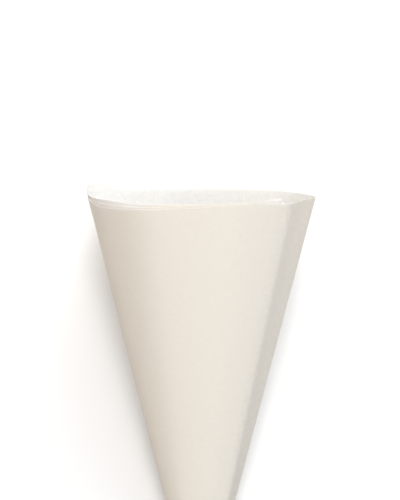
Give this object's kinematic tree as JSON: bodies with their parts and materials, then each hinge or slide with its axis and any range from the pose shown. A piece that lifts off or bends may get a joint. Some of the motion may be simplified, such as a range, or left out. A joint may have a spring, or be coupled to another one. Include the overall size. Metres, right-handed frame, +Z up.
{
  "type": "paper coffee filter",
  "caption": "Paper coffee filter: a half-moon sheet folded and opened into a cone, three layers thick at the front and one at the back, lying on its back.",
  "frame": {"origin": "middle of the underside of the box around the filter, as it lies on its single-layer back", "axes": "+Y from the point towards the open mouth, +Z up through the three-layer front, +X to the right as seen from the front with the mouth at the top"},
  "size_m": [0.0868, 0.1702, 0.0807],
  "materials": {
    "paper": "bonded filter paper, uncoated, softly cloudy"
  },
  "bodies": {
    "root": {"filter_paper": "paper"}
  },
  "joints": []
}
